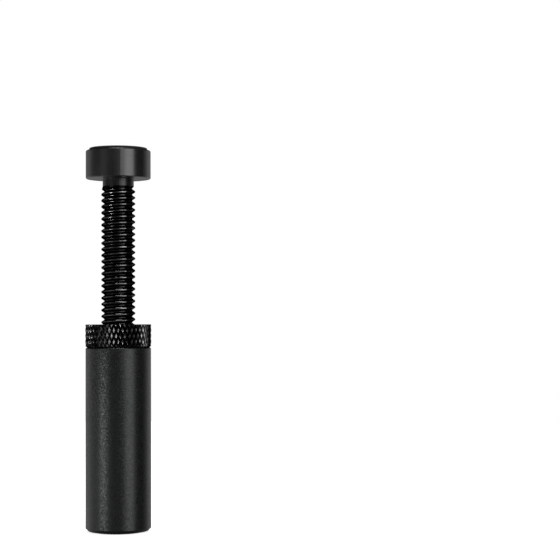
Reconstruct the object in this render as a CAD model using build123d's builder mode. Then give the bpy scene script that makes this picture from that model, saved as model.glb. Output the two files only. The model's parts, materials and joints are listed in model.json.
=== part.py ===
from build123d import *
import os
from math import atan, cos, pi, sin, tan

# Adjustable support for a sagging graphics card: a small screw jack.
# The knurled ring turns on the sleeve's top face, and the screw rises or sinks without turning.
# Millimetres, +Z up, the axis on Z, the floor at Z = 0, shown at its full height.

# Height setting
travel = 42.2  # how far the screw can sink, and the length of thread that shows at full height
screw_tail = 4.0  # length of the screw that stays in the sleeve at full height
tip_clearance = 1.0  # room under the screw's tip at its lowest

# Thread, right-handed, one start
thread_major = 10.34
thread_pitch = 1.86
thread_depth = 0.9
thread_crest = 0.4  # flat on the crest
thread_root = 0.24  # flat in the root
first_crest = 1.6  # drop from the end of the neck to the first crest on the +X side
thread_runout = 1.5  # height over which the thread grows out of the neck
tip_chamfer = 1.2

# Head and neck of the screw
neck_length = 2.3
neck_relief = 0.41  # how far the neck lies inside the thread's major surface
head_inset = 0.05  # how far the head's side lies inside the sleeve's outline
head_height = 8.65
head_chamfer = 0.25

# Pad on the head
pad_margin = 1.1  # bare rim of the head around the pad
pad_thickness = 0.75
pad_edge = 0.15

# Adjuster ring
ring_overhang = 0.1  # how far the knurl's points stand out past the sleeve
ring_height = 6.95
ring_top_chamfer = 0.2
ring_foot_chamfer = 0.45
ring_countersink = 0.35
thread_clearance = 0.12  # between the ring's thread and the screw's, square to the flanks
thrust_gap = 0.05  # running gap between the ring and the sleeve
knurl_columns = 44
knurl_rows = 4
knurl_depth = 0.45

# Base sleeve
sleeve_diameter = 19.9  # the ring and the head follow it
sleeve_top_chamfer = 0.35
sleeve_foot_chamfer = 0.9
bore_clearance = 0.2  # radial, around the thread
bore_mouth_chamfer = 0.4
web_thickness = 5.0  # between the bore and the magnet's pocket
foot_wall = 2.3  # around the magnet's pocket

# Magnet and foot pad in the sleeve's foot
magnet_thickness = 3.0
magnet_edge = 0.25
foot_pad_thickness = 0.8
foot_pad_proud = 0.3
foot_pad_edge = 0.12
pocket_clearance = 0.1  # radial, around the magnet and the foot pad

# Heights above the floor
sleeve_foot = foot_pad_proud
magnet_bottom = foot_pad_thickness
pocket_top = magnet_bottom + magnet_thickness
bore_floor = pocket_top + web_thickness
screw_tip = bore_floor + tip_clearance + travel
sleeve_top = screw_tip + screw_tail
ring_bottom = sleeve_top + thrust_gap
ring_top = ring_bottom + ring_height
thread_top = ring_top + travel
head_bottom = thread_top + neck_length
head_top = head_bottom + head_height

# Radii
major_radius = thread_major / 2
minor_radius = major_radius - thread_depth
neck_radius = major_radius - neck_relief
bore_radius = major_radius + bore_clearance
sleeve_radius = sleeve_diameter / 2
ring_radius = sleeve_radius + ring_overhang
head_radius = sleeve_radius - head_inset
pad_radius = head_radius - pad_margin
pocket_radius = sleeve_radius - foot_wall
insert_radius = pocket_radius - pocket_clearance


def thread_body(clearance, low, high):
    """A threaded bar that reaches past low and high, its surface moved outwards by clearance."""
    flank_angle = atan((thread_pitch - thread_crest - thread_root) / 2 / thread_depth)
    widening = clearance * (1 / cos(flank_angle) - tan(flank_angle))
    crest_half = thread_crest / 2 + widening
    foot_half = (thread_pitch - thread_root) / 2 + widening
    outer = major_radius + clearance
    inner = minor_radius + clearance
    crest_height = thread_top - first_crest
    turns_below = int((crest_height - low) / thread_pitch) + 3
    turns_above = int((high - crest_height) / thread_pitch) + 3
    # one pitch of the profile, as radius and height from the middle of a crest
    profile = [
        (inner, -foot_half),
        (outer, -crest_half),
        (outer, crest_half),
        (inner, foot_half),
        (inner, thread_pitch - foot_half),
    ]

    def rail(radius, height):
        return Edge.make_helix(thread_pitch, thread_pitch, radius).translate((0, 0, height))

    faces = []
    for turn in range(-turns_below, turns_above):
        height = crest_height + turn * thread_pitch
        rails = [rail(radius, height + rise) for radius, rise in profile]
        faces += [Face.make_surface_from_curves(a, b) for a, b in zip(rails, rails[1:])]
    # each end is closed by one turn of a helical ramp and a flat step up to the next turn
    for turn in (-turns_below, turns_above):
        height = crest_height + turn * thread_pitch
        start = height - foot_half
        spine = Edge.make_line((0, 0, start), (0, 0, start + thread_pitch))
        faces.append(Face.make_surface_from_curves(spine, rail(inner, start)))
        step = [(radius, 0, height + rise) for radius, rise in profile]
        step += [(0, 0, start + thread_pitch), (0, 0, start)]
        faces.append(Face(Wire.make_polygon(step, close=True)))
    return Solid(Shell(faces))


def knurled_body():
    """The ring's blank: pyramids between two sets of crossing grooves, flat at both ends."""
    steps = 2 * knurl_columns
    row_height = ring_height / knurl_rows

    def point(column, row):
        is_point = (column + row) % 2 == 1
        radius = ring_radius if is_point else ring_radius - knurl_depth
        angle = 2 * pi * column / steps
        return Vector(radius * cos(angle), radius * sin(angle), ring_bottom + row * row_height)

    def facet(*corners):
        return Face(Wire.make_polygon([point(*corner) for corner in corners], close=True))

    faces = []
    for row in range(knurl_rows + 1):
        for column in range((row + 1) % 2, steps, 2):
            if row < knurl_rows:
                faces.append(facet((column, row), (column + 1, row), (column, row + 1)))
                faces.append(facet((column, row), (column, row + 1), (column - 1, row)))
            if row > 0:
                faces.append(facet((column, row), (column - 1, row), (column, row - 1)))
                faces.append(facet((column, row), (column, row - 1), (column + 1, row)))
    for row in (0, knurl_rows):
        faces.append(facet(*[(column, row) for column in range(steps)]))
    return Solid(Shell(faces))


os.makedirs("parts", exist_ok=True)

# Base sleeve: a turned tube with a blind bore above and a pocket in its foot
with BuildPart() as base_sleeve:
    with BuildSketch(Plane.XZ):
        with BuildLine():
            Polyline(
                (0, pocket_top),
                (pocket_radius, pocket_top),
                (pocket_radius, sleeve_foot),
                (sleeve_radius - sleeve_foot_chamfer, sleeve_foot),
                (sleeve_radius, sleeve_foot + sleeve_foot_chamfer),
                (sleeve_radius, sleeve_top - sleeve_top_chamfer),
                (sleeve_radius - sleeve_top_chamfer, sleeve_top),
                (bore_radius + bore_mouth_chamfer, sleeve_top),
                (bore_radius, sleeve_top - bore_mouth_chamfer),
                (bore_radius, bore_floor),
                (0, bore_floor),
                close=True,
            )
        make_face()
    revolve(axis=Axis.Z)
base_sleeve.part.label = "base_sleeve"
export_step(base_sleeve.part, "parts/base_sleeve.step")

# Magnet: a disc against the top of the pocket
with BuildPart() as base_magnet:
    with BuildSketch(Plane.XY.offset(magnet_bottom)):
        Circle(insert_radius)
    extrude(amount=magnet_thickness)
    chamfer(base_magnet.edges(), magnet_edge)
base_magnet.part.label = "base_magnet"
export_step(base_magnet.part, "parts/base_magnet.step")

# Foot pad: closes the pocket under the magnet and stands a little proud of the sleeve
with BuildPart() as foot_pad:
    with BuildSketch():
        Circle(insert_radius)
    extrude(amount=foot_pad_thickness)
    fillet(foot_pad.edges().group_by(Axis.Z)[0], foot_pad_edge)
foot_pad.part.label = "foot_pad"
export_step(foot_pad.part, "parts/foot_pad.step")

# Adjuster ring: a knurled nut, chamfered at both rims and countersunk at both ends of its thread
ring_thread = thread_body(thread_clearance, ring_bottom, ring_top)
with BuildPart() as adjuster_ring:
    add(knurled_body())
    with BuildSketch(Plane.XZ):
        with BuildLine():
            Polyline(
                (0, ring_bottom),
                (ring_radius - ring_foot_chamfer, ring_bottom),
                (ring_radius, ring_bottom + ring_foot_chamfer),
                (ring_radius, ring_top - ring_top_chamfer),
                (ring_radius - ring_top_chamfer, ring_top),
                (0, ring_top),
                close=True,
            )
        make_face()
    revolve(axis=Axis.Z, mode=Mode.INTERSECT)
    add(ring_thread, mode=Mode.SUBTRACT)
    mouth_radius = major_radius + thread_clearance + ring_countersink
    mouth_depth = mouth_radius - minor_radius
    for end, inward in ((ring_bottom, 1), (ring_top, -1)):
        with BuildSketch(Plane.XZ):
            with BuildLine():
                Polyline(
                    (0, end),
                    (mouth_radius, end),
                    (minor_radius, end + inward * mouth_depth),
                    (0, end + inward * mouth_depth),
                    close=True,
                )
            make_face()
        revolve(axis=Axis.Z, mode=Mode.SUBTRACT)
adjuster_ring.part.label = "adjuster_ring"
export_step(adjuster_ring.part, "parts/adjuster_ring.step")

# Lift screw: threaded shank with a chamfered tip, plain neck and broad head in one piece
screw_thread = thread_body(0, screw_tip, thread_top)
with BuildPart() as lift_screw:
    add(screw_thread)
    with BuildSketch(Plane.XZ):
        with BuildLine():
            Polyline(
                (0, screw_tip),
                (major_radius - tip_chamfer, screw_tip),
                (major_radius, screw_tip + tip_chamfer),
                (major_radius, thread_top - thread_runout),
                (neck_radius, thread_top),
                (0, thread_top),
                close=True,
            )
        make_face()
    revolve(axis=Axis.Z, mode=Mode.INTERSECT)
    with BuildSketch(Plane.XZ):
        with BuildLine():
            Polyline(
                (0, thread_top),
                (neck_radius, thread_top),
                (neck_radius, head_bottom),
                (head_radius - head_chamfer, head_bottom),
                (head_radius, head_bottom + head_chamfer),
                (head_radius, head_top - head_chamfer),
                (head_radius - head_chamfer, head_top),
                (0, head_top),
                close=True,
            )
        make_face()
    revolve(axis=Axis.Z)
lift_screw.part.label = "lift_screw"
export_step(lift_screw.part, "parts/lift_screw.step")

# Top pad: a soft disc on the head
with BuildPart() as top_pad:
    with BuildSketch(Plane.XY.offset(head_top)):
        Circle(pad_radius)
    extrude(amount=pad_thickness)
    fillet(top_pad.edges().group_by(Axis.Z)[-1], pad_edge)
top_pad.part.label = "top_pad"
export_step(top_pad.part, "parts/top_pad.step")
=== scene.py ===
import json
from math import ceil, cos, hypot, pi, radians, sin

import bmesh
import bpy
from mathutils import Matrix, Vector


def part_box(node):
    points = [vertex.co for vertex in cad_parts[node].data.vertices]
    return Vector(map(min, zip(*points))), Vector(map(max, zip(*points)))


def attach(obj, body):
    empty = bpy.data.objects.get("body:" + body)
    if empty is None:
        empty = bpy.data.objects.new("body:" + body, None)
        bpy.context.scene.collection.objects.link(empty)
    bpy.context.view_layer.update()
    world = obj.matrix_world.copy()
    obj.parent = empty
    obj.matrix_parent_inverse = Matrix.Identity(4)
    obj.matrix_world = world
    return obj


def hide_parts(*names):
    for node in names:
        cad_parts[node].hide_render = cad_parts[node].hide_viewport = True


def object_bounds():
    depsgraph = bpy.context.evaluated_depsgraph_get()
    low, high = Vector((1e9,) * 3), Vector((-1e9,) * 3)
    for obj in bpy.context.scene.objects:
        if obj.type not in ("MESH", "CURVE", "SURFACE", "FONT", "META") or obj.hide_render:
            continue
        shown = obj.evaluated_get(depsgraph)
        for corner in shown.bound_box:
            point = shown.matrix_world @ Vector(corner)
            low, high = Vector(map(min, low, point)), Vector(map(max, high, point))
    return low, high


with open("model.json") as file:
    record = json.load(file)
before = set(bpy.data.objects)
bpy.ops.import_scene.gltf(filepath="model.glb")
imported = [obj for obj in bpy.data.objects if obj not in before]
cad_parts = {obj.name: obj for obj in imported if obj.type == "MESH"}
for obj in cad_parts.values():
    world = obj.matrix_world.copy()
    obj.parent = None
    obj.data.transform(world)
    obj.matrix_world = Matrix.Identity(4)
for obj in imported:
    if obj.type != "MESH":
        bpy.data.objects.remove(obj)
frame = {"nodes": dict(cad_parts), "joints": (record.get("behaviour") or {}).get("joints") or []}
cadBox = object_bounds()
mm = 0.001  # pieces are modelled in millimetres and scaled once at the end
joints = {joint["name"]: joint for joint in frame["joints"]}
print("frame loaded:", sorted(frame["nodes"]))


# reading the frame

def turnedNode(node):  # foot, top and outer radius of a node that was turned about Z, in mm
    low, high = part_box(node)
    return low.z / mm, high.z / mm, high.x / mm


# shared modelling steps

def drawOutline(bm, points, rounding, segments=3):  # open outline in XZ, as (radius, height) pairs
    verts = [bm.verts.new((radius, 0, height)) for radius, height in points]
    for pair in zip(verts, verts[1:]):
        bm.edges.new(pair)
    bmesh.ops.bevel(bm, geom=verts[1:-1], offset=rounding, segments=segments, profile=0.5,
                    affect="VERTICES", material=-1)
    return bm.verts[:] + bm.edges[:]


def closeSkin(bm, gap=0.0005):  # welds seams and poles, then turns every face outwards
    bmesh.ops.remove_doubles(bm, verts=bm.verts, dist=gap)
    bmesh.ops.dissolve_degenerate(bm, edges=bm.edges, dist=gap)
    bmesh.ops.recalc_face_normals(bm, faces=bm.faces)


def turnOutline(points, steps, rounding):  # a lathe: one full spin of a rounded outline
    bm = bmesh.new()
    outline = drawOutline(bm, points, rounding)
    bmesh.ops.spin(bm, geom=outline, cent=(0, 0, 0), axis=(0, 0, 1), angle=2 * pi, steps=steps,
                   use_merge=True)
    closeSkin(bm)
    return bm


def cutFlat(bm, height, keep):  # trims at a level: keep is "below", "above" or "both"
    bmesh.ops.bisect_plane(bm, geom=bm.verts[:] + bm.edges[:] + bm.faces[:], dist=0.0001,
                           plane_co=(0, 0, height), plane_no=(0, 0, 1),
                           clear_outer=keep == "below", clear_inner=keep == "above")


def holdRadius(bm, least, most):  # keeps each point between two radii, given as functions of its height
    for vert in bm.verts:
        radius = hypot(vert.co.x, vert.co.y)
        if radius > 0:
            scale = min(max(radius, least(vert.co.z)), most(vert.co.z)) / radius
            vert.co.x *= scale
            vert.co.y *= scale


def openRim(bm, height, slack=0.001):  # the open edges that lie at a level
    return [edge for edge in bm.edges if edge.is_boundary
            and all(abs(vert.co.z - height) < slack for vert in edge.verts)]


def carryRim(bm, start, path):  # extrudes an open round rim along (radius, height) pairs
    radius, height = start
    for nextRadius, nextHeight in path:
        made = bmesh.ops.extrude_edge_only(bm, edges=openRim(bm, height))["geom"]
        verts = [item for item in made if isinstance(item, bmesh.types.BMVert)]
        grow = nextRadius / radius
        bmesh.ops.scale(bm, vec=(grow, grow, 1), verts=verts)
        bmesh.ops.translate(bm, vec=(0, 0, nextHeight - height), verts=verts)
        radius, height = nextRadius, nextHeight


def roundEdges(bm, width, lowest, leastTurn=20, segments=2):  # eases the sharper edges above a level
    sharp = [edge for edge in bm.edges if edge.is_manifold
             and edge.calc_face_angle() > radians(leastTurn)
             and min(vert.co.z for vert in edge.verts) > lowest]
    bmesh.ops.bevel(bm, geom=sharp, offset=width, segments=segments, profile=0.5,
                    affect="EDGES", material=-1)


def addSkin(bm, other):  # brings another skin into this one
    scratch = bpy.data.meshes.new("scratch")
    other.to_mesh(scratch)
    other.free()
    bm.from_mesh(scratch)
    bpy.data.meshes.remove(scratch)


def changeFinish(bm, *levels):  # a face takes the next of its piece's finishes for each level it lies under
    for face in bm.faces:
        height = face.calc_center_median().z
        face.material_index = sum(height < level for level in levels)


def placePiece(name, bm, materials, body, node, crease=30):  # finishes a mesh and hangs it on its body
    bmesh.ops.scale(bm, vec=(mm, mm, mm), verts=bm.verts)
    mesh = bpy.data.meshes.new(name)
    bm.to_mesh(mesh)
    bm.free()
    mesh.shade_smooth()
    mesh.set_sharp_from_angle(angle=radians(crease))
    for material in materials:
        mesh.materials.append(material)
    piece = bpy.data.objects.new(name, mesh)
    bpy.context.scene.collection.objects.link(piece)
    weights = piece.modifiers.new("evenNormals", "WEIGHTED_NORMAL")
    weights.keep_sharp = True
    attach(piece, body)
    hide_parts(node)
    print("piece", name, len(mesh.polygons), "faces")


# shader nodes

def grey(level):  # a plain tone as a colour
    return level, level, level, 1


def feed(tree, socket, value):  # links another node's output, or sets a plain value
    if isinstance(value, bpy.types.NodeSocket):
        tree.links.new(value, socket)
    else:
        socket.default_value = value


def mathNode(tree, operation, *values):  # one Math node
    node = tree.nodes.new("ShaderNodeMath")
    node.operation = operation
    for socket, value in zip(node.inputs, values):
        feed(tree, socket, value)
    return node.outputs["Value"]


def vectorNode(tree, operation, *values):  # one Vector Math node
    node = tree.nodes.new("ShaderNodeVectorMath")
    node.operation = operation
    for socket, value in zip(node.inputs, values):
        feed(tree, socket, value)
    return node.outputs["Vector"]


def noiseNode(tree, vector, scale, detail, roughness):  # one Noise Texture
    node = tree.nodes.new("ShaderNodeTexNoise")
    node.inputs["Detail"].default_value = detail
    node.inputs["Roughness"].default_value = roughness
    tree.links.new(vector, node.inputs["Vector"])
    tree.links.new(scale, node.inputs["Scale"])
    return node.outputs["Fac"]


def cellNode(tree, vector, scale, feature="F1"):  # one Voronoi Texture
    node = tree.nodes.new("ShaderNodeTexVoronoi")
    node.feature = feature
    tree.links.new(vector, node.inputs["Vector"])
    tree.links.new(scale, node.inputs["Scale"])
    return node.outputs


def splitVector(tree, vector):  # its X, Y and Z
    node = tree.nodes.new("ShaderNodeSeparateXYZ")
    tree.links.new(vector, node.inputs["Vector"])
    return node.outputs


def spread(tree, value, low, high, toLow, toHigh):  # one Map Range
    node = tree.nodes.new("ShaderNodeMapRange")
    for label, number in (("From Min", low), ("From Max", high), ("To Min", toLow), ("To Max", toHigh)):
        node.inputs[label].default_value = number
    tree.links.new(value, node.inputs["Value"])
    return node.outputs["Result"]


def mixTones(tree, mask, first, second):  # first where the mask is 0, second where it is 1
    node = tree.nodes.new("ShaderNodeMix")
    node.data_type = "RGBA"
    tree.links.new(mask, node.inputs["Factor"])
    feed(tree, node.inputs["A"], first)
    feed(tree, node.inputs["B"], second)
    return node.outputs["Result"]


# shader groups

def newGroup(name, inputs, outputs):  # an empty group with named sockets
    group = bpy.data.node_groups.new(name, "ShaderNodeTree")

    def addSocket(label, side):
        kind = "NodeSocketVector" if label in ("Vector", "Normal") else "NodeSocketFloat"
        return group.interface.new_socket(label, in_out=side, socket_type=kind)

    addSocket("Vector", "INPUT")
    for label, value in inputs.items():
        addSocket(label, "INPUT").default_value = value
    for label in outputs:
        addSocket(label, "OUTPUT")
    return group, group.nodes.new("NodeGroupInput").outputs, group.nodes.new("NodeGroupOutput").inputs


def buildBlastGrain():  # bead-blasted skin: crowded dimples, and a number from 0 to 1 for each
    group, given, result = newGroup("blastGrain", {"Grain": 2200}, ("Height", "Fleck"))
    dimples = cellNode(group, given["Vector"], given["Grain"], "SMOOTH_F1")
    rough = noiseNode(group, given["Vector"], given["Grain"], detail=3, roughness=0.6)
    spots = cellNode(group, given["Vector"], given["Grain"])
    fleck = group.nodes.new("ShaderNodeSeparateColor")
    group.links.new(spots["Color"], fleck.inputs["Color"])
    group.links.new(mathNode(group, "ADD", dimples["Distance"], rough), result["Height"])
    group.links.new(fleck.outputs["Red"], result["Fleck"])
    return group


def buildFacetLean():  # each small cell of a blasted skin leans up or down, so it sparkles
    inputs = {"Grain": 3300, "Lean": 0.4, "Normal": (0, 0, 1)}
    group, given, result = newGroup("facetLean", inputs, ("Normal",))
    cells = cellNode(group, given["Vector"], given["Grain"])
    upright = group.nodes.new("ShaderNodeCombineXYZ")
    group.links.new(given["Lean"], upright.inputs["Z"])
    lean = vectorNode(group, "SUBTRACT", cells["Color"], (0.5, 0.5, 0.5))  # as often up as down
    lean = vectorNode(group, "MULTIPLY", lean, upright.outputs["Vector"])
    leaning = vectorNode(group, "NORMALIZE", vectorNode(group, "ADD", given["Normal"], lean))
    group.links.new(leaning, result["Normal"])
    return group


def axisDistance(tree, parts):  # from the axis that every piece is turned about
    squares = [mathNode(tree, "POWER", parts[axis], 2) for axis in ("X", "Y")]
    return mathNode(tree, "SQRT", mathNode(tree, "ADD", *squares))


def buildLatheLines():  # fine rings left by the tool: they change with height and radius only
    group, given, result = newGroup("latheLines", {"Lines": 9000}, ("Height",))
    parts = splitVector(group, given["Vector"])
    rings = group.nodes.new("ShaderNodeCombineXYZ")
    group.links.new(axisDistance(group, parts), rings.inputs["X"])
    group.links.new(parts["Z"], rings.inputs["Z"])
    lines = noiseNode(group, rings.outputs["Vector"], given["Lines"], detail=2, roughness=0.7)
    group.links.new(lines, result["Height"])
    return group


def buildHandlingHaze():  # broad faint smudges from fingers and packing
    group, given, result = newGroup("handlingHaze", {"Patch": 120}, ("Haze",))
    patches = noiseNode(group, given["Vector"], given["Patch"], detail=4, roughness=0.55)
    low, high = 0.35, 0.65  # the noise between these fills the whole range
    group.links.new(spread(group, patches, low, high, 0, 1), result["Haze"])
    return group


def buildCrestShine():  # 0 at the root of a thread or a knurl, 1 at its crest
    group, given, result = newGroup("crestShine", {"Root": 0.004, "Crest": 0.005}, ("Shine",))
    radius = axisDistance(group, splitVector(group, given["Vector"]))
    climbed = mathNode(group, "SUBTRACT", radius, given["Root"])
    depth = mathNode(group, "SUBTRACT", given["Crest"], given["Root"])
    group.links.new(mathNode(group, "DIVIDE", climbed, depth), result["Shine"])
    return group


groups = {
    "blastGrain": buildBlastGrain(),
    "facetLean": buildFacetLean(),
    "latheLines": buildLatheLines(),
    "crestShine": buildCrestShine(),
    "handlingHaze": buildHandlingHaze(),
}
print("shader groups ready:", sorted(groups))


# materials

markRange = (0.3, 0.7)  # where nearly all the heights of tool marks lie


def newFinish(name, look):  # a Principled material with its constants set
    material = bpy.data.materials.new(name)
    material.use_nodes = True
    shader = material.node_tree.nodes["Principled BSDF"]
    for label, value in look.items():
        shader.inputs[label].default_value = value
    return material, material.node_tree, shader


def useGroup(tree, name, **values):  # places a shared group on Object coordinates, with its own values
    node = tree.nodes.new("ShaderNodeGroup")
    node.node_tree = groups[name]
    place = tree.nodes.new("ShaderNodeTexCoord")
    tree.links.new(place.outputs["Object"], node.inputs["Vector"])
    for label, value in values.items():
        feed(tree, node.inputs[label], value)
    return node.outputs


def bumpUp(tree, shader, height, strength, relief):  # relief in mm
    bump = tree.nodes.new("ShaderNodeBump")
    bump.inputs["Strength"].default_value = strength
    bump.inputs["Distance"].default_value = relief * mm
    tree.links.new(height, bump.inputs["Height"])
    tree.links.new(bump.outputs["Normal"], shader.inputs["Normal"])
    return bump.outputs["Normal"]


blasted = {
    "sleeveShine": 0.33,
    # painted shade: the foot's chamfer reflects about a tenth as much as the sleeve
    "footShadeShine": 0.03,
    "glare": (0.94, 1, 0.97, 1),  # colour of its reflections
    "grain": 3300,  # dimples along a metre
    "patch": 90,  # smudges along a metre
    "tones": ((0.0035, 0.0038, 0.0037, 1), (0.0065, 0.007, 0.0068, 1)),
    "rough": (0.26, 0.41),
    "hazeRough": 0.03,  # what a smudge adds
    "bump": (0.08, 0.05),  # strength, and relief in mm
    "lean": 0.2,
}


def blastedBlack(name, shine):  # matte black anodised sleeve
    material, tree, shader = newFinish(name, {
        "IOR": 1.5, "Specular IOR Level": shine, "Specular Tint": blasted["glare"]})
    grain = useGroup(tree, "blastGrain", Grain=blasted["grain"])
    haze = useGroup(tree, "handlingHaze", Patch=blasted["patch"])
    tree.links.new(mixTones(tree, grain["Fleck"], *blasted["tones"]), shader.inputs["Base Color"])
    rough = mathNode(tree, "ADD", spread(tree, haze["Haze"], 0, 1, 0, blasted["hazeRough"]),
                     spread(tree, grain["Fleck"], 0, 1, *blasted["rough"]))
    tree.links.new(rough, shader.inputs["Roughness"])
    skin = bumpUp(tree, shader, grain["Height"], *blasted["bump"])
    facets = useGroup(tree, "facetLean", Grain=blasted["grain"], Lean=blasted["lean"], Normal=skin)
    tree.links.new(facets["Normal"], shader.inputs["Normal"])
    return material


satin = {
    "headShine": 0.62,
    # painted shade: the neck under the head's rim reflects about half as much as the head
    "neckShadedShine": 0.32,
    "lines": 7000,  # tool marks along a metre
    "patch": 110,
    "tones": ((0.006, 0.0064, 0.0064, 1), (0.009, 0.0095, 0.0093, 1)),
    "rough": (0.19, 0.23),
    "lineRough": 0.06,  # what the tool's lines add
    "bump": (0.12, 0.02),
}


def satinBlack(name, shine):  # turned and anodised head and neck
    material, tree, shader = newFinish(name, {"IOR": 1.5, "Specular IOR Level": shine})
    lines = useGroup(tree, "latheLines", Lines=satin["lines"])
    haze = useGroup(tree, "handlingHaze", Patch=satin["patch"])
    tree.links.new(mixTones(tree, haze["Haze"], *satin["tones"]), shader.inputs["Base Color"])
    rough = mathNode(tree, "ADD", spread(tree, haze["Haze"], 0, 1, *satin["rough"]),
                     spread(tree, lines["Height"], *markRange, 0, satin["lineRough"]))
    tree.links.new(rough, shader.inputs["Roughness"])
    bumpUp(tree, shader, lines["Height"], *satin["bump"])
    return material


def glossBlack(name, look, radii=None):  # bright black cut surfaces; radii of roots and crests, in mm
    material, tree, shader = newFinish(name, {"Metallic": 1.0, "Specular Tint": grey(0)})
    marks = useGroup(tree, look["marks"], **look["scale"])
    haze = useGroup(tree, "handlingHaze", Patch=look["patch"])
    polish = haze["Haze"]
    if radii:  # polished on the crests, with painted shade darkening the grooves below them
        root, crest = radii
        climb = useGroup(tree, "crestShine", Root=root * mm, Crest=crest * mm)
        shine = spread(tree, climb["Shine"], look["polishFrom"], 1, look["grooveShade"], 1)
        polish = mathNode(tree, "MULTIPLY", polish, shine)
    tones = [grey(tone) for tone in look["tones"]]
    tree.links.new(mixTones(tree, polish, *tones), shader.inputs["Base Color"])
    rough = mathNode(tree, "ADD", spread(tree, haze["Haze"], 0, 1, *look["rough"]),
                     spread(tree, marks["Height"], *markRange, 0, look["markRough"]))
    tree.links.new(rough, shader.inputs["Roughness"])
    bumpUp(tree, shader, marks["Height"], *look["bump"])
    return material


rubber = {
    "shine": 0.35,
    "grain": 3400,
    "patch": 150,
    "tones": ((0.008, 0.008, 0.008, 1), (0.014, 0.014, 0.0135, 1)),
    "rough": (0.78, 0.66),
    "bump": (0.4, 0.05),
}


def softRubber():  # pads: dull, with a fine moulded grain
    material, tree, shader = newFinish("softRubber", {"IOR": 1.5, "Specular IOR Level": rubber["shine"]})
    grain = useGroup(tree, "blastGrain", Grain=rubber["grain"])
    haze = useGroup(tree, "handlingHaze", Patch=rubber["patch"])
    tree.links.new(mixTones(tree, haze["Haze"], *rubber["tones"]), shader.inputs["Base Color"])
    tree.links.new(spread(tree, grain["Fleck"], 0, 1, *rubber["rough"]), shader.inputs["Roughness"])
    bumpUp(tree, shader, grain["Height"], *rubber["bump"])
    return material


nickel = {
    "grain": 5000,
    "patch": 300,
    "tones": ((0.56, 0.55, 0.52, 1), (0.66, 0.65, 0.62, 1)),
    "rough": (0.2, 0.34),
    "bump": (0.08, 0.02),
}


def platedNickel():  # the magnet's plating
    material, tree, shader = newFinish("platedNickel", {"Metallic": 1.0})
    grain = useGroup(tree, "blastGrain", Grain=nickel["grain"])
    haze = useGroup(tree, "handlingHaze", Patch=nickel["patch"])
    tree.links.new(mixTones(tree, haze["Haze"], *nickel["tones"]), shader.inputs["Base Color"])
    tree.links.new(spread(tree, haze["Haze"], 0, 1, *nickel["rough"]), shader.inputs["Roughness"])
    bumpUp(tree, shader, grain["Height"], *nickel["bump"])
    return material


finishes = {  # the thread's and the ring's are added beside their sizes
    "sleeve": blastedBlack("blastedBlack", blasted["sleeveShine"]),
    "foot": blastedBlack("footPaintedShade", blasted["footShadeShine"]),
    "head": satinBlack("satinBlack", satin["headShine"]),
    "neck": satinBlack("neckPaintedShade", satin["neckShadedShine"]),
    "rubber": softRubber(),
    "nickel": platedNickel(),
}
print("finishes ready:", sorted(finishes))


# base sleeve: a turned tube with a blind bore above and the magnet's pocket below

sleeve = {
    "steps": 192,
    "topChamfer": 0.35,
    "footChamfer": 0.9,
    "boreRadius": 5.37,
    "boreMouth": 0.4,
    "boreFloor": 8.8,  # height above the ground
    "pocketGap": 0.1,  # around the magnet
    "edgeRound": 0.1,
}
sleeveFoot, sleeveTop, sleeveRadius = turnedNode("base_sleeve")
magnetTop, magnetRadius = turnedNode("base_magnet")[1:]
pocketRadius = magnetRadius + sleeve["pocketGap"]
sleeveMesh = turnOutline([
    (0, magnetTop),
    (pocketRadius, magnetTop),
    (pocketRadius, sleeveFoot),
    (sleeveRadius - sleeve["footChamfer"], sleeveFoot),
    (sleeveRadius, sleeveFoot + sleeve["footChamfer"]),
    (sleeveRadius, sleeveTop - sleeve["topChamfer"]),
    (sleeveRadius - sleeve["topChamfer"], sleeveTop),
    (sleeve["boreRadius"] + sleeve["boreMouth"], sleeveTop),
    (sleeve["boreRadius"], sleeveTop - sleeve["boreMouth"]),
    (sleeve["boreRadius"], sleeve["boreFloor"]),
    (0, sleeve["boreFloor"]),
], sleeve["steps"], sleeve["edgeRound"])
# painted shade: the foot's chamfer and underside reflect far less, standing in for the floor's contact
# shadow seen in them
changeFinish(sleeveMesh, sleeveFoot + sleeve["footChamfer"] - sleeve["edgeRound"])
placePiece("sleeve_tube", sleeveMesh, [finishes["sleeve"], finishes["foot"]],
           "base", "base_sleeve")


# thread shared by the screw and the ring

thread = {
    "pitch": 1.86,
    "majorRadius": 5.17,
    "depth": 0.9,
    "crest": 0.4,  # flat on the crest
    "root": 0.24,  # flat in the root
    "firstCrest": 1.6,  # below the thread's top, on the +X side
    "thicken": 0.55,  # the flanks lean, so a thread moved outwards is thicker by this share of the move
    "stepsPerTurn": 96,
    "round": 0.1,
    "weld": 0.002,
    "finish": {
        "marks": "latheLines",
        "scale": {"Lines": 5200},
        "patch": 420,
        "tones": (0.026, 0.2),
        "rough": (0.08, 0.12),
        "markRough": 0.04,
        "bump": (0.5, 0.0005),
        "polishFrom": 0.985,  # share of the depth
        "grooveShade": 0.35,  # share of the polish left below it: painted shade in the grooves
    },
}
ringFoot, ringTop, ringRadius = turnedNode("adjuster_ring")
threadTop = ringTop - joints["screw_lift"]["range_m"][0] / mm
minorRadius = thread["majorRadius"] - thread["depth"]
finishes["thread"] = glossBlack("threadBlack", thread["finish"], (minorRadius, thread["majorRadius"]))


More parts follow.
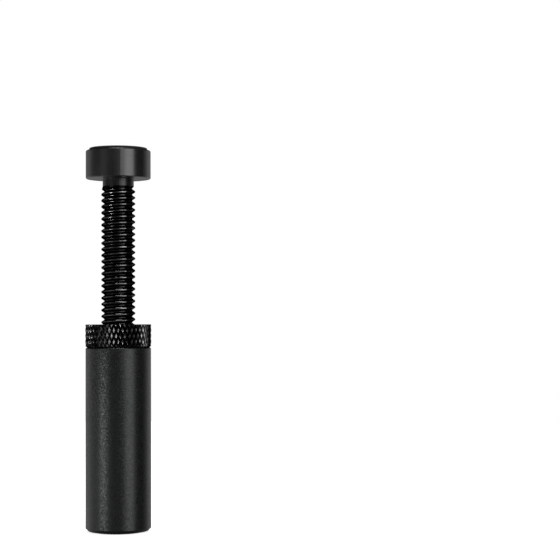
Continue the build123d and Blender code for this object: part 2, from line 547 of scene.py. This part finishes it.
def sweepThread(grow, low, high):  # the thread's skin between two levels, moved out by grow
    pitch, steps = thread["pitch"], thread["stepsPerTurn"]
    spare = 2  # turns past each level, trimmed at the end
    crestHeight = threadTop - thread["firstCrest"]
    start = crestHeight - pitch * (ceil((crestHeight - low) / pitch) + spare)
    turns = ceil((high - start) / pitch) + spare
    crestHalf = thread["crest"] / 2 + grow * thread["thicken"]
    footHalf = (pitch - thread["root"]) / 2 + grow * thread["thicken"]
    outer, inner = thread["majorRadius"] + grow, minorRadius + grow
    bm = bmesh.new()
    outline = drawOutline(bm, [  # it starts and ends in the middle of a root
        (inner, start - pitch / 2),
        (inner, start - footHalf),
        (outer, start - crestHalf),
        (outer, start + crestHalf),
        (inner, start + footHalf),
        (inner, start + pitch / 2),
    ], thread["round"], segments=2)
    bmesh.ops.spin(bm, geom=outline, cent=(0, 0, 0), axis=(0, 0, 1), dvec=(0, 0, pitch / steps),
                   angle=2 * pi, steps=steps)
    oneTurn = bm.verts[:] + bm.edges[:] + bm.faces[:]
    for turn in range(1, turns):
        copied = bmesh.ops.duplicate(bm, geom=oneTurn)["geom"]
        verts = [item for item in copied if isinstance(item, bmesh.types.BMVert)]
        bmesh.ops.translate(bm, vec=(0, 0, pitch * turn), verts=verts)
    bmesh.ops.remove_doubles(bm, verts=bm.verts, dist=thread["weld"])
    cutFlat(bm, low, "above")
    cutFlat(bm, high, "below")
    return bm


# lift screw: threaded shank, plain neck and broad head, one mesh from tip to crown

screw = {
    "neckLength": 2.3,
    "neckRadius": 4.76,
    "runout": 1.5,  # the crests shrink to the neck over this height
    "rootRise": 0.5,  # and the roots rise to it over this one
    "tipChamfer": 1.2,
    "headChamfer": 0.25,
    "edgeRound": 0.07,
    "edgeStart": 0.1,  # edges are eased from this far above the thread
    "finishSlack": 0.05,  # faces this near an end of the neck count as past it
    "crease": 12,  # low, so that the thread's crests stay crisp
}
screwTip, headTop, headRadius = turnedNode("lift_screw")
headFoot = threadTop + screw["neckLength"]


def crestLimit(height):  # cone at the tip, cone at the run-out
    tipCone = thread["majorRadius"] - screw["tipChamfer"] + height - screwTip
    slope = (thread["majorRadius"] - screw["neckRadius"]) / screw["runout"]
    return min(thread["majorRadius"], tipCone, screw["neckRadius"] + slope * (threadTop - height))


def rootLimit(height):  # the groove fades out just under the neck
    slope = (screw["neckRadius"] - minorRadius) / screw["rootRise"]
    return max(0, screw["neckRadius"] - slope * (threadTop - height))


screwMesh = sweepThread(0, screwTip, threadTop)
holdRadius(screwMesh, rootLimit, crestLimit)
neck, chamfer = screw["neckRadius"], screw["headChamfer"]
carryRim(screwMesh, (neck, threadTop), [
    (neck, headFoot),
    (headRadius - chamfer, headFoot),
    (headRadius, headFoot + chamfer),
    (headRadius, headTop - chamfer),
    (headRadius - chamfer, headTop),
    (0, headTop),
])
bmesh.ops.holes_fill(screwMesh, edges=openRim(screwMesh, screwTip))
closeSkin(screwMesh)
roundEdges(screwMesh, screw["edgeRound"], threadTop + screw["edgeStart"])
changeFinish(screwMesh, headFoot - screw["finishSlack"], threadTop + screw["finishSlack"])
placePiece("screw_post", screwMesh, [finishes[part] for part in ("head", "neck", "thread")],
           "screw", "lift_screw", screw["crease"])


# adjuster ring: diamond knurl outside, thread inside

ring = {
    "columns": 44,
    "rows": 4,
    "depth": 0.45,
    # steps up a diamond: shares of its half width inwards and of the depth outwards
    "crown": [(0.25, 0.42), (0.25, 0.27), (0.25, 0.18), (0.24, 0.13)],
    "topChamfer": 0.2,
    "footChamfer": 0.45,
    "shadedFoot": 0.28,  # height of the painted shade band at the ring's foot, above the sleeve
    "threadGap": 0.12,
    "countersink": 0.35,
    "weld": 0.001,
    "crease": 24,
    "finish": {
        "marks": "blastGrain",
        "scale": {"Grain": 1400},
        "patch": 700,
        "tones": (0.015, 0.4),
        "rough": (0.1, 0.14),
        "markRough": 0.04,
        "bump": (0.5, 0.015),
        "polishFrom": 0.68,  # share of the depth
        "grooveShade": 0.1,  # share of the polish left below it: painted shade in the grooves
    },
    "shadeFinish": {"tones": (0.006, 0.012), "rough": (0.2, 0.3)},  # what differs in the painted shade at the foot: darker and rougher
}
valleyRadius = ringRadius - ring["depth"]
halfColumn = pi / ring["columns"]
rowHeight = (ringTop - ringFoot) / ring["rows"]
finishes["knurl"] = glossBlack("knurlBlack", ring["finish"], (valleyRadius, ringRadius))
# painted shade for the ring's foot: the knurl's finish made far darker
finishes["recess"] = glossBlack("recessBlack", {**ring["finish"], **ring["shadeFinish"]})


def knurlSkin():  # crowned diamonds in staggered rows, trimmed and chamfered at both ends
    bm = bmesh.new()
    for row in range(ring["rows"] + 1):
        middle = halfColumn * ((row + 1) % 2)
        height = ringFoot + row * rowHeight
        corners = [(-1, 0), (0, -1), (1, 0), (0, 1)]  # column and row steps to the diamond's corners
        bm.faces.new([bm.verts.new((valleyRadius * cos(middle + side * halfColumn),
                                    valleyRadius * sin(middle + side * halfColumn),
                                    height + rise * rowHeight)) for side, rise in corners])
    columns = ring["columns"]
    bmesh.ops.spin(bm, geom=bm.verts[:] + bm.edges[:] + bm.faces[:], cent=(0, 0, 0), axis=(0, 0, 1),
                   angle=2 * pi * (columns - 1) / columns, steps=columns - 1, use_duplicate=True)
    bmesh.ops.remove_doubles(bm, verts=bm.verts, dist=ring["weld"])
    bmesh.ops.recalc_face_normals(bm, faces=bm.faces)
    halfWidth = valleyRadius * halfColumn
    inradius = halfWidth * rowHeight / hypot(halfWidth, rowHeight)
    diamonds = bm.faces[:]
    for inward, rise in ring["crown"]:  # the same faces shrink and climb, almost to a point
        bmesh.ops.inset_individual(bm, faces=diamonds, thickness=inward * inradius,
                                   depth=rise * ring["depth"], use_even_offset=True)
    cutFlat(bm, ringFoot + ring["footChamfer"], "both")
    cutFlat(bm, ringFoot + ring["shadedFoot"], "both")
    cutFlat(bm, ringTop - ring["topChamfer"], "both")
    cutFlat(bm, ringFoot, "above")
    cutFlat(bm, ringTop, "below")
    holdRadius(bm, lambda height: 0, lambda height: min(
        ringRadius,
        ringRadius - ring["footChamfer"] + height - ringFoot,
        ringRadius - ring["topChamfer"] + ringTop - height,
    ))
    return bm


ringMesh = sweepThread(ring["threadGap"], ringFoot, ringTop)
mouthRadius = thread["majorRadius"] + ring["threadGap"] + ring["countersink"]
holdRadius(ringMesh, lambda height: mouthRadius - min(height - ringFoot, ringTop - height),
           lambda height: mouthRadius)
addSkin(ringMesh, knurlSkin())
for level in (ringFoot, ringTop):
    bmesh.ops.bridge_loops(ringMesh, edges=openRim(ringMesh, level))
closeSkin(ringMesh)
# painted shade: the ring's foot above the sleeve takes the far darker finish, for the shade in the gap
# between ring and sleeve
changeFinish(ringMesh, ringFoot + ring["shadedFoot"])
placePiece("ring_knurled", ringMesh, [finishes["knurl"], finishes["recess"]],
           "ring", "adjuster_ring", ring["crease"])


# pads: soft discs on the head and under the foot

pads = {
    "steps": 128,
    "edgeRound": 0.15,
    "topDish": 0.06,  # the upper pad is a little lower in its middle
    "flatFrom": 0.8,  # and flat from this share of its radius outwards
}
padFoot, padTop, padRadius = turnedNode("top_pad")
padMesh = turnOutline([
    (0, padFoot),
    (padRadius, padFoot),
    (padRadius, padTop),
    (padRadius * pads["flatFrom"], padTop),
    (0, padTop - pads["topDish"]),
], pads["steps"], pads["edgeRound"])
placePiece("pad_top", padMesh, [finishes["rubber"]], "screw", "top_pad")

footLow, footTop, footRadius = turnedNode("foot_pad")
footMesh = turnOutline([
    (0, footLow),
    (footRadius, footLow),
    (footRadius, footTop),
    (0, footTop),
], pads["steps"], pads["edgeRound"])
placePiece("pad_foot", footMesh, [finishes["rubber"]], "base", "foot_pad")

magnet = frame["nodes"]["base_magnet"]  # sealed in its pocket: the solid's own shape is right
magnet.data.materials.clear()
magnet.data.materials.append(finishes["nickel"])


# stage

studio = {
    "floorRadius": 0.6,
    "floorWhite": 0.8,
    "floorRough": 0.9,
    "floorGlow": 0.8,  # what the camera sees besides the lamps, so that the floor is white
    "ambient": 0.35,  # the room's own light on the object
    "dimRoom": 0.02,  # what reflections see high above the horizon
    # how bright the surround is in reflections, by bearing: 0 towards the camera, right positive
    "floorTones": [(-180, 0.17), (-150, 0.5), (-124, 1), (-90, 1.2), (-66, 1.1), (-52, 0.9), (-38, 0.9),
                   (-26, 0.6), (-8, 0.26), (14, 0.17), (28, 0.17), (52, 0.3), (66, 0.12), (84, 0.02),
                   (98, 0.02), (112, 0.4), (130, 0.9), (152, 0.5), (180, 0.17)],
    "wallTones": [(-180, 0.25), (-150, 0.3), (-122, 0.52), (-102, 0.18), (-84, 0.09), (-70, 0.15),
                  (-57, 0.4), (-46, 0.32), (-36, 0.1), (-20, 0.07), (-8, 0.19), (2, 0.4), (16, 0.35),
                  (40, 0.02), (98, 0.02), (110, 0.33), (130, 0.58), (180, 0.25)],
    "deepTones": [(-180, 0.7), (-130, 0.6), (-100, 0.25), (-50, 0.15), (60, 0.15), (105, 0.08),
                  (130, 0.5), (180, 0.7)],
    "wallFoot": (-0.03, 0.02),  # the floor's tones change to the wall's over these rises of the ray
    "wallTop": (0.15, 0.4),  # and past these, up or down, to the dim room above and the deep tones below
}


def lightPathMask(tree, *kinds):  # 1 for any of these kinds of ray
    path = tree.nodes.new("ShaderNodeLightPath")
    mask = path.outputs[kinds[0]]
    for kind in kinds[1:]:
        mask = mathNode(tree, "MAXIMUM", mask, path.outputs[kind])
    return mask


def surround(tree, ray, tones):  # a ramp around the vertical axis, read along a ray
    front = mathNode(tree, "MULTIPLY", ray["Y"], -1)
    bearing = mathNode(tree, "ARCTAN2", ray["X"], front)
    ramp = tree.nodes.new("ShaderNodeValToRGB")
    tree.links.new(spread(tree, bearing, -pi, pi, 0, 1), ramp.inputs["Fac"])
    stops = ramp.color_ramp.elements
    while len(stops) < len(tones):
        stops.new(0.5)
    for stop, (angle, level) in zip(stops, tones):
        stop.position = (angle + 180) / 360
        stop.color = grey(level)
    return ramp.outputs["Color"]


def whiteFloor():  # plain white, kept white in the camera's view, with the object's shadow
    material, tree, shader = newFinish("whiteFloor", {
        "Base Color": grey(studio["floorWhite"]), "Roughness": studio["floorRough"],
        "Specular IOR Level": 0, "Emission Color": grey(1)})
    seen = lightPathMask(tree, "Is Camera Ray", "Is Transmission Ray")
    tree.links.new(mathNode(tree, "MULTIPLY", seen, studio["floorGlow"]), shader.inputs["Emission Strength"])
    solid = mathNode(tree, "SUBTRACT", 1, lightPathMask(tree, "Is Glossy Ray"))
    tree.links.new(solid, shader.inputs["Alpha"])  # reflections see the room's tones, not the floor
    return material


floorMesh = bmesh.new()
bmesh.ops.create_circle(floorMesh, cap_ends=True, segments=96, radius=studio["floorRadius"])
floorData = bpy.data.meshes.new("floor")
floorMesh.to_mesh(floorData)
floorMesh.free()
floorData.materials.append(whiteFloor())
floorPiece = bpy.data.objects.new("floor", floorData)
bpy.context.scene.collection.objects.link(floorPiece)


def whiteRoom():  # the camera sees white; reflections see the surround
    world = bpy.data.worlds.new("whiteRoom")
    bpy.context.scene.world = world
    world.use_nodes = True
    tree = world.node_tree
    place = tree.nodes.new("ShaderNodeTexCoord")
    ray = splitVector(tree, place.outputs["Generated"])
    floorTone, wallTone, deepTone = [
        surround(tree, ray, studio[tones]) for tones in ("floorTones", "wallTones", "deepTones")]
    pastFoot = spread(tree, ray["Z"], *studio["wallFoot"], 0, 1)
    pastTop = spread(tree, mathNode(tree, "ABSOLUTE", ray["Z"]), *studio["wallTop"], 0, 1)
    below = mathNode(tree, "LESS_THAN", ray["Z"], 0)
    near = mixTones(tree, pastFoot, floorTone, wallTone)
    far = mixTones(tree, below, grey(studio["dimRoom"]), deepTone)
    bounced = lightPathMask(tree, "Is Glossy Ray", "Is Transmission Ray")
    room = mixTones(tree, bounced, grey(studio["ambient"]), mixTones(tree, pastTop, near, far))
    seen = mixTones(tree, lightPathMask(tree, "Is Camera Ray"), room, grey(1))
    tree.links.new(seen, tree.nodes["Background"].inputs["Color"])


whiteRoom()


lamps = {  # bearing from the camera's side, right positive; distance, height, width and height of the panel
    "softbox": {"bearing": 40, "distance": 0.62, "height": 0.08, "size": (0.335, 0.56), "power": 2.02},
    "wing": {"bearing": 17, "distance": 0.62, "height": 0.27, "size": (0.17, 0.4), "power": 0.38},
    "lowStrip": {"bearing": -53, "distance": 0.22, "height": 0.006, "size": (0.1, 0.006), "power": 0.092},
    "overhead": {"bearing": 0, "distance": 0.08, "height": 0.72, "size": (0.3, 0.2), "power": 2},
}


def hangLamp(name, lamp):  # an area lamp that faces the object
    light = bpy.data.lights.new(name, "AREA")
    light.shape = "RECTANGLE"
    light.size, light.size_y = lamp["size"]
    light.energy = lamp["power"]
    post = bpy.data.objects.new(name, light)
    bpy.context.scene.collection.objects.link(post)
    angle = radians(lamp["bearing"])
    post.location = (lamp["distance"] * sin(angle), -lamp["distance"] * cos(angle), lamp["height"])
    aim = (cadBox[0] + cadBox[1]) / 2
    if name != "overhead":
        aim.z = lamp["height"]  # side lamps stand upright
    post.rotation_mode = "QUATERNION"
    post.rotation_quaternion = (aim - post.location).to_track_quat("-Z", "Y")
    post.visible_camera = False


for name, lamp in lamps.items():
    hangLamp(name, lamp)
print("stage set")


# camera: straight on at half height, turned so that the object stands left of the middle

shot = {
    "lens": 106.6,
    "nearest": 0.01,
    "distance": 0.509,
    "height": 0.0618,
    "turnRight": 5.566,  # degrees, as are the next two
    "tiltUp": 1.652,
    "roll": 0.19,
}
camera = bpy.data.cameras.new("camera")
camera.lens = shot["lens"]
camera.clip_start = shot["nearest"]
view = bpy.data.objects.new("camera", camera)
bpy.context.scene.collection.objects.link(view)
view.location = (0, -shot["distance"], shot["height"])
view.rotation_euler = (radians(90 + shot["tiltUp"]), radians(shot["roll"]), radians(-shot["turnRight"]))
bpy.context.scene.camera = view
bpy.context.scene.view_settings.view_transform = "Standard"
